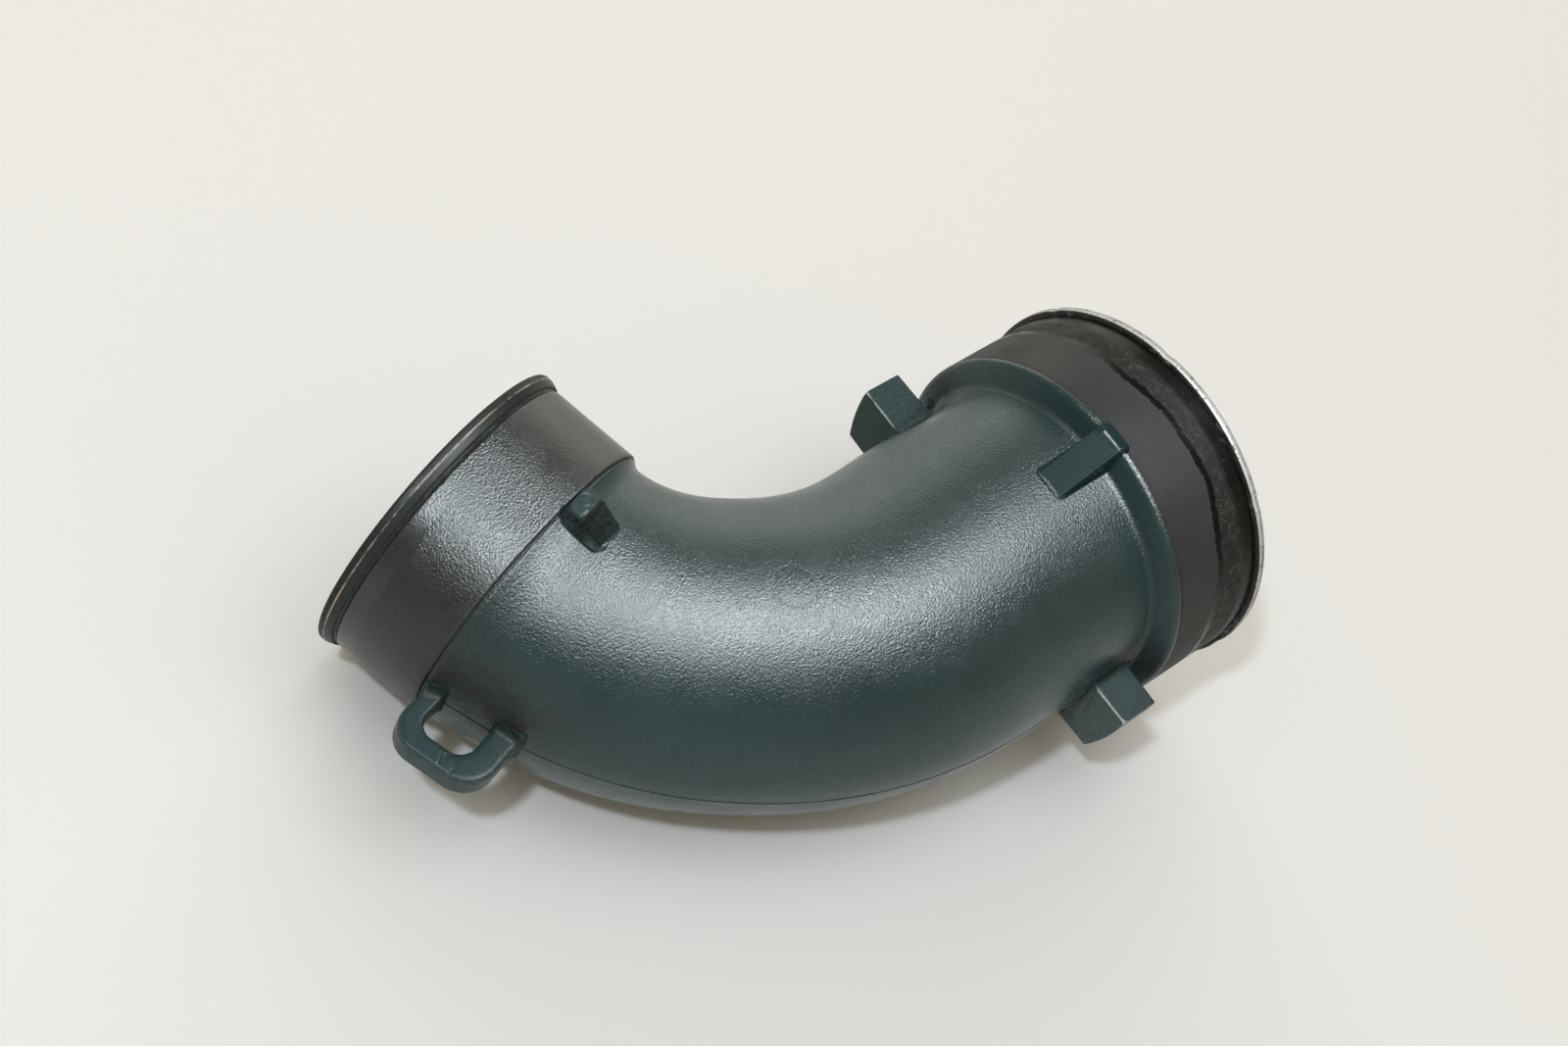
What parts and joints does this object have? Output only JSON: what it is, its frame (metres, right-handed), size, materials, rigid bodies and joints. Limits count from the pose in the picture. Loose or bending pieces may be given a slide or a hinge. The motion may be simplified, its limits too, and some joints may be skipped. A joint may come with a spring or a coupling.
{
  "type": "cast duct elbow",
  "caption": "Painted cast elbow joining two hoses of unlike bore, with beaded ends, an annular step, a loop lug, an ejector wedge and blocks at the step.",
  "frame": {"origin": "under the middle of the bounding box, at the height of the lowest point (the large end's bead)", "axes": "+X along the large end's axis, out of its mouth; +Z square to the plane of the bend, towards the side with the wedge and the ramp"},
  "size_m": [0.1996, 0.139, 0.0956],
  "materials": {
    "bend_lower": "satin, fine orange-peel paint over a casting",
    "bend_upper": "satin, fine orange-peel paint over a casting",
    "inner_block": "satin, fine orange-peel paint over a casting",
    "large_bead": "bare, pitted and scratched",
    "large_spigot": "matt charcoal paint with grime",
    "large_step": "satin, fine orange-peel paint over a casting",
    "loop_lug": "satin, fine orange-peel paint over a casting",
    "outer_block": "satin, fine orange-peel paint over a casting",
    "small_bead": "satin charcoal paint, edge worn",
    "small_spigot": "satin charcoal paint, hose-worn",
    "top_block": "satin, fine orange-peel paint over a casting",
    "wedge_lug": "satin, fine orange-peel paint over a casting"
  },
  "bodies": {
    "root": {"bend_lower": "bend_lower", "bend_upper": "bend_upper", "inner_block": "inner_block", "large_bead": "large_bead", "large_spigot": "large_spigot", "large_step": "large_step", "loop_lug": "loop_lug", "outer_block": "outer_block", "small_bead": "small_bead", "small_spigot": "small_spigot", "top_block": "top_block", "wedge_lug": "wedge_lug"}
  },
  "joints": []
}
